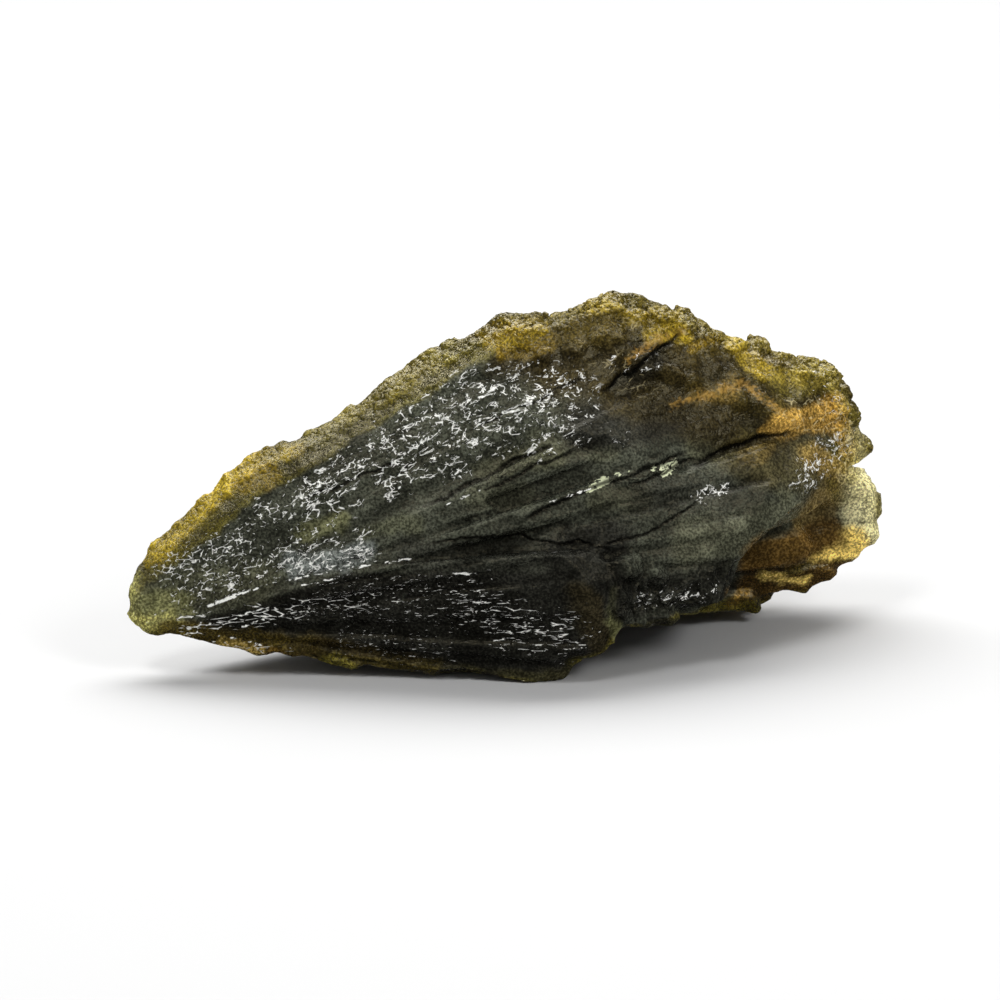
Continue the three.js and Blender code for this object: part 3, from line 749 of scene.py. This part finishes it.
def coloured(p, n, thick):
    """The body colour at p, with the painted shade and glow in it, and how clear the crystal is
    there.
    """
    u, v, w, reach, *_ = fan_terms(p)
    inset, share, _ = off_line(u, v, RIM)
    wander = np.stack([layered(p * 0.35, 200 + i) for i in range(2)], 1)
    wander += 0.35 * np.stack([layered(p * 1.6, 210 + i) for i in range(2)], 1)
    # The lobe is tinted black: painted shade, for its face turns downwards.
    body = tinted(np.tile(CHARCOAL, (len(p), 1)), BLACK, is_lobe(u, v, w))
    # Thin places turn olive, but for the front of the left tip, and so does a margin along the rim.
    thin = ease(*THIN, thick + wander[:, 0] * 1.2)
    thin *= 1 - faces_front(n) * ease(*TIP_DEPTH, w) * ease(*TIP_REACH, reach)
    margin = MARGIN + MARGIN_MORE * ease(*MARGIN_WIDENS, share)
    margin -= MARGIN_LESS * ease(*MARGIN_NARROWS, share)
    near_rim = ease(margin + MARGIN_BLUR, margin - MARGIN_BLUR, inset + wander[:, 1] * 0.7)
    olive = np.maximum(thin, near_rim)
    body = tinted(body, OLIVE, THIN_OLIVE * olive)
    clear = THIN_CLEAR * olive
    facing = ease(*PATCH_FACING, -(n @ THROUGH_FAN))
    facing = PATCH_BEHIND + (1 - PATCH_BEHIND) * facing
    for a, b, width, colour, much, see in PATCHES:
        away, _, _ = off_line(u + wander[:, 0], v + wander[:, 1], [a, b])
        mask = ease(width * PATCH_EDGE[0], width * PATCH_EDGE[1], away) * much * facing
        body = tinted(body, colour, mask)
        clear = clear + (see - clear) * mask
    # The outermost grains are lighter.
    lit = LIT * ease(*LIT_INSET, inset + wander[:, 0] * 0.3) * ease(*LIT_SHARE, share)
    return tinted(body, KHAKI, lit), clear + (THIN_CLEAR - clear) * lit


def wandering(q, scale, much):
    """Coordinates pushed about by noise, so that straight edges wander."""
    return q + much * np.stack([layered(q * scale, 330 + 10 * i, 2) for i in range(3)], 1)


def painted(table, u, v):
    """How much of a table's strokes reaches each vertex."""
    much = np.zeros(len(u))
    for a, b, width, strength in table:
        away, _, _ = off_line(u, v, [a, b])
        edge = ease(width * STROKE_EDGE[0], width * STROKE_EDGE[1], away)
        much = np.maximum(much, edge * strength)
    return much


def drawn(table, u, v, front):
    """How far outside a table's lines each vertex is."""
    off = np.full(len(u), OFF_FRONT)
    for a, b, first, last in table:
        away, share, _ = off_line(u, v, [a, b])
        off = np.minimum(off, away - (first + (last - first) * share))
    return np.where(front > 0.5, off, OFF_FRONT)


def add_attributes(mesh):
    """What the material reads at each vertex."""
    p, n = places(mesh), normals(mesh)
    u, v, w, reach, rise, depth = fan_terms(p)
    front = faces_front(n)
    body, clear = coloured(p, n, thickness(mesh))
    proud = ((p - smoothed(mesh, p, PROUD_PASSES)) * n).sum(1)
    # Single crystal ends and larger regions are lighter and darker at random, and ridges are
    # painted
    # lighter and hollows darker: painted shade.
    _, _, random = cells(wandering(polar(reach, rise, depth, *MOSAIC_CELLS), 1.3, 0.35), 80)
    tone_and_hollow_shade = 0.75 + 0.5 * random[:, 0]
    tone_and_hollow_shade *= 0.7 + 0.6 * ease(-0.35, 0.35, layered(p * 0.35, 320, 4))
    tone_and_hollow_shade *= 0.5 + ease(-0.12, 0.12, proud)
    along = u * math.cos(FACE_TURN) + v * math.sin(FACE_TURN)
    across = v * math.cos(FACE_TURN) - u * math.sin(FACE_TURN)
    face = np.stack([along * FACE_CELLS[0], across * FACE_CELLS[1], w], 1)
    low_face = np.stack([u, v, w], 1) * LOW_FACE_CELLS
    _, crack_off, crack = cracks(u, v, w)
    attributes = {
        "way": np.stack([np.log(reach), rise, depth], 1),
        "face": wandering(face, 1.3, 0.4),
        "low_face": wandering(low_face, 0.5, 0.4),
        "body": body * BODY_LEVEL,
        "clear": clear,
        "tone_and_hollow_shade": tone_and_hollow_shade,
        "crack_off": crack_off,
        "crack": crack * front,
        "glint_area": np.where(front > 0.5, painted(GLINT_AREAS, u, v), GLINT_OFF_FRONT),
        "fine_glint_area": np.where(front > 0.5, painted(FINE_GLINT_AREAS, u, v), GLINT_OFF_FRONT),
        "dashed": painted(DASHES, u, v) * is_lobe(u, v, w) * front,
        "webbed": painted(WEBS, u, v) * front,
        "outlined": painted(OUTLINED, u, v) * front,
        "veined": painted(VEINED, u, v) * front,
        "line": drawn(LINES, u, v, front),
        "rib_glint": drawn(RIB_GLINTS, u, v, front),
        "seam": drawn(SEAMS, u, v, front),
    }
    for name, values in attributes.items():
        kind, key = {1: ("FLOAT", "value"), 2: ("FLOAT_VECTOR", "vector")}[values.ndim]
        made = mesh.attributes.new(name, kind, "POINT")
        made.data.foreach_set(key, values.astype(np.float32).ravel())


crystal_mesh = shaped()
add_attributes(crystal_mesh)
crystal_mesh.transform(Matrix.Scale(MM, 4))
crystal = bpy.data.objects.new("epidote_spray", crystal_mesh)
bpy.context.scene.collection.objects.link(crystal)

# ---- Material ----

IOR = 1.73
SPECULAR = 0.08
SPECULAR_TINT = (1.0, 0.90, 0.60, 1)
ABSORPTION_COLOUR = (0.70, 0.60, 0.0, 1)
ABSORPTION_DENSITY = 300  # for each metre
GRAINS_PER_METRE = 5000
GRAIN_TONE = (0.45, 1.6)
GRAIN_ROUGHNESS = (0.14, 0.32)
BUMP_HEIGHT = 0.04  # in mm
SEAM_COLOUR = (0.62, 0.36, 0.08, 1)
RIB_GLINT_COLOUR = (0.72, 0.76, 0.50, 1)
OUTLINE_COLOUR = (0.78, 0.66, 0.36, 1)
VEIN_COLOUR = (0.03, 0.02, 0.004, 1)
CRACK_SHADE_COLOUR = (0.001, 0.001, 0.001, 1)
GLINT_COLOUR = (1.0, 1.0, 0.95, 1)

material = bpy.data.materials.new("epidote")
material.use_nodes = True
nodes = material.node_tree.nodes
links = material.node_tree.links
bsdf = nodes["Principled BSDF"]
bsdf.inputs["IOR"].default_value = IOR
bsdf.inputs["Specular IOR Level"].default_value = SPECULAR
bsdf.inputs["Specular Tint"].default_value = SPECULAR_TINT


def feed(value, socket):
    """Links or sets a socket."""
    if isinstance(value, bpy.types.NodeSocket):
        links.new(value, socket)
    else:
        socket.default_value = value


def read(name, output="Fac"):
    """A vertex attribute."""
    node = nodes.new("ShaderNodeAttribute")
    node.attribute_name = name
    return node.outputs[output]


def maths(operation, *values):
    node = nodes.new("ShaderNodeMath")
    node.operation = operation
    for value, socket in zip(values, node.inputs):
        feed(value, socket)
    return node.outputs[0]


def times(*values):
    return maths("MULTIPLY", *values)


def most(*values):
    return maths("MAXIMUM", *values)


def ranged(value, low, high, start=0.0, end=1.0):
    """From start to end, as the value goes from low to high."""
    node = nodes.new("ShaderNodeMapRange")
    node.interpolation_type = "SMOOTHSTEP"
    inputs = {"Value": value, "From Min": low, "From Max": high, "To Min": start, "To Max": end}
    for key, x in inputs.items():
        feed(x, node.inputs[key])
    return node.outputs[0]


def mixed(share, a, b):
    """Colour a with a share of colour b."""
    node = nodes.new("ShaderNodeMix")
    node.data_type = "RGBA"
    sockets = {socket.identifier: socket for socket in node.inputs}
    for key, x in (("Factor_Float", share), ("A_Color", a), ("B_Color", b)):
        feed(x, sockets[key])
    return next(socket for socket in node.outputs if socket.identifier == "Result_Color")


def scaled(vector, factor):
    """A vector or a colour, times a number."""
    node = nodes.new("ShaderNodeVectorMath")
    node.operation = "SCALE"
    feed(vector, node.inputs[0])
    feed(factor, node.inputs["Scale"])
    return node.outputs[0]


def stretched(*scale):
    """The polar coordinates, scaled."""
    node = nodes.new("ShaderNodeVectorMath")
    node.operation = "MULTIPLY"
    feed(read("way", "Vector"), node.inputs[0])
    node.inputs[1].default_value = scale
    return node.outputs[0]


def noisy(vector, scale, detail=3.0):
    node = nodes.new("ShaderNodeTexNoise")
    feed(vector, node.inputs["Vector"])
    node.inputs["Scale"].default_value = scale
    node.inputs["Detail"].default_value = detail
    return node.outputs[0]


def off_edge(vector):
    """How far a place is from the edges of a mosaic's cells."""
    node = nodes.new("ShaderNodeTexVoronoi")
    node.feature = "DISTANCE_TO_EDGE"
    feed(vector, node.inputs["Vector"])
    node.inputs["Scale"].default_value = 1.0
    return node.outputs["Distance"]


def strokes(net, much, bare, width, curved=None):
    """Short pale strokes along the edges of a mosaic, and curved ones between, which paint
    highlights.
    Regions stay bare where a noise is below this level, and fewer do where much is high."""
    more = times(maths("SUBTRACT", much, 1.0), 0.18)
    gate = ranged(maths("ADD", noisy(net, 0.9, 4), more), bare, bare + 0.12)
    gate = times(gate, ranged(noisy(net, 2.4, 1), 0.38, 0.52))
    stroke = ranged(off_edge(net), times(gate, width), 0.0)
    if curved is not None:
        stroke = most(stroke, ranged(curved, times(gate, width * 0.25), 0.0))
    return stroke


# The painted glints, pale strokes standing for highlights: on the cells' edges, finer ones, dashes
# and a net on the lobe, and lines on the ridges.
face = read("face", "Vector")
curve = maths("ABSOLUTE", maths("SUBTRACT", noisy(face, 1.3, 2), 0.5))
glint_area, fine_glint_area = read("glint_area"), read("fine_glint_area")
dashed, webbed = read("dashed"), read("webbed")
line = times(strokes(scaled(face, 1.5), glint_area, 0.47, 0.13, curve), ranged(glint_area, 0.2, 0.5))
fine_line = strokes(scaled(face, 2.3), fine_glint_area, 0.48, 0.14)
fine_line = times(fine_line, ranged(fine_glint_area, 0.2, 0.5))
dash = times(strokes(stretched(32, 150, 150), dashed, 0.52, 0.18), ranged(dashed, 0.1, 0.4))
web = times(strokes(read("low_face", "Vector"), webbed, 0.42, 0.10), ranged(webbed, 0.2, 0.6))
uneven = noisy(face, 3.2, 3)
glints = most(most(line, fine_line), most(dash, web))
glints = times(glints, ranged(uneven, 0.36, 0.55, 0.55, 1.0))
fray = times(maths("SUBTRACT", uneven, 0.5), 0.45)
glints = most(glints, ranged(maths("ADD", read("line"), fray), 0.03, -0.04))

# The body, with its grain, its tone and painted shade in the hollows, and what lies on it: seams,
# veins, painted shade in the cracks and painted highlights.
grain = noisy(nodes.new("ShaderNodeTexCoord").outputs["Object"], GRAINS_PER_METRE, 3)
tone_and_hollow_shade = times(ranged(grain, 0.36, 0.64, *GRAIN_TONE), read("tone_and_hollow_shade"))
colour = scaled(read("body", "Vector"), tone_and_hollow_shade)
ragged = times(fray, 2.6)
seam = ranged(maths("ADD", read("seam"), times(ragged, 1.6)), 0.45, -0.25)
colour = mixed(times(seam, 0.6), colour, SEAM_COLOUR)
rib_glint = ranged(maths("ADD", read("rib_glint"), ragged), 0.05, -0.03)
colour = mixed(rib_glint, colour, RIB_GLINT_COLOUR)
# Painted highlights along the edges of the crust's grains.
outlined = read("outlined")
outline = times(strokes(scaled(face, 1.15), outlined, 0.4, 0.1), outlined)
colour = mixed(times(outline, 0.7), colour, OUTLINE_COLOUR)
vein = times(ranged(curve, 0.022, 0.004), read("veined"))
colour = mixed(times(vein, 0.85), colour, VEIN_COLOUR)
# Painted shade in the cracks and under their steps.
crack = times(ranged(maths("ABSOLUTE", read("crack_off")), 1.5, 0.3), read("crack"))
colour = mixed(times(crack, 0.85), colour, CRACK_SHADE_COLOUR)
colour = mixed(glints, colour, GLINT_COLOUR)
pale = most(glints, most(rib_glint, outline))
clear = times(read("clear"), maths("SUBTRACT", 1.0, pale))

bump = nodes.new("ShaderNodeBump")
bump.inputs["Strength"].default_value = 1.0
bump.inputs["Distance"].default_value = BUMP_HEIGHT * MM
striation = noisy(stretched(12, 260, 260), 1.0, 3)
feed(maths("ADD", grain, striation), bump.inputs["Height"])

feed(colour, bsdf.inputs["Base Color"])
feed(clear, bsdf.inputs["Transmission Weight"])
feed(ranged(grain, 0.3, 0.7, *GRAIN_ROUGHNESS), bsdf.inputs["Roughness"])
feed(bump.outputs[0], bsdf.inputs["Normal"])
absorb = nodes.new("ShaderNodeVolumeAbsorption")
absorb.inputs["Color"].default_value = ABSORPTION_COLOUR
absorb.inputs["Density"].default_value = ABSORPTION_DENSITY
feed(absorb.outputs[0], nodes["Material Output"].inputs["Volume"])
crystal_mesh.materials.append(material)

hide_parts(NODE)
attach(crystal, "root")

# ---- Floor, lights ----

FLOOR = 3.0  # half its side
FLOOR_GREY = (0.55, 0.55, 0.55, 1)
FLOOR_ROUGHNESS = 0.7
# How bright the studio is, from straight down (0) to straight up (1).
STUDIO = [(0.0, 0.03), (0.4, 0.05), (0.5, 0.12), (0.65, 0.22), (0.8, 0.28), (1.0, 0.32)]
# Each light's name, place, size and radiance.
SOFTBOXES = [
    ("softbox", (-0.03, 0.27, 0.5), (0.85, 0.3), 7),
    ("right_box", (0.24, -0.2, 0.26), (0.12, 0.12), 11),
    ("front_box", (-0.16, -0.2, 0.5), (0.14, 0.14), 15),
]
LIGHTS_AIM = Vector((0, 0, 0.01))


def add_floor():
    corners = [(-FLOOR, -FLOOR, 0), (FLOOR, -FLOOR, 0), (FLOOR, FLOOR, 0), (-FLOOR, FLOOR, 0)]
    mesh = bpy.data.meshes.new("floor")
    mesh.from_pydata(corners, [], [(0, 1, 2, 3)])
    floor = bpy.data.objects.new("floor", mesh)
    bpy.context.scene.collection.objects.link(floor)
    plain = bpy.data.materials.new("floor")
    plain.use_nodes = True
    paint = plain.node_tree.nodes["Principled BSDF"]
    paint.inputs["Base Color"].default_value = FLOOR_GREY
    paint.inputs["Roughness"].default_value = FLOOR_ROUGHNESS
    mesh.materials.append(plain)
    floor.visible_glossy = False
    return floor


def add_studio():
    """A plain surround that is brighter upwards."""
    world = bpy.data.worlds.new("studio")
    bpy.context.scene.world = world
    world.use_nodes = True
    tree = world.node_tree
    coordinates = tree.nodes.new("ShaderNodeTexCoord")
    split = tree.nodes.new("ShaderNodeSeparateXYZ")
    upwards = tree.nodes.new("ShaderNodeMath")
    upwards.operation = "MULTIPLY_ADD"
    upwards.inputs[1].default_value = 0.5
    upwards.inputs[2].default_value = 0.5
    gradient = tree.nodes.new("ShaderNodeValToRGB")
    background = tree.nodes["Background"]
    background.inputs["Strength"].default_value = 1.0
    tree.links.new(coordinates.outputs["Generated"], split.inputs[0])
    tree.links.new(split.outputs["Z"], upwards.inputs[0])
    tree.links.new(upwards.outputs[0], gradient.inputs[0])
    tree.links.new(gradient.outputs[0], background.inputs["Color"])
    elements = gradient.color_ramp.elements
    while len(elements) < len(STUDIO):
        elements.new(0.5)
    for element, (at, value) in zip(elements, STUDIO):
        element.position = at
        element.color = (value, value, value, 1)


def add_softbox(name, place, size, radiance):
    data = bpy.data.lights.new(name, "AREA")
    data.shape = "RECTANGLE"
    data.size, data.size_y = size
    data.energy = radiance * math.pi * size[0] * size[1]
    light = bpy.data.objects.new(name, data)
    light.location = place
    light.rotation_mode = "QUATERNION"
    light.rotation_quaternion = (LIGHTS_AIM - Vector(place)).to_track_quat("-Z", "Y")
    bpy.context.scene.collection.objects.link(light)


floor = add_floor()
add_studio()
for softbox in SOFTBOXES:
    add_softbox(*softbox)

bpy.context.scene.view_settings.view_transform = "Standard"
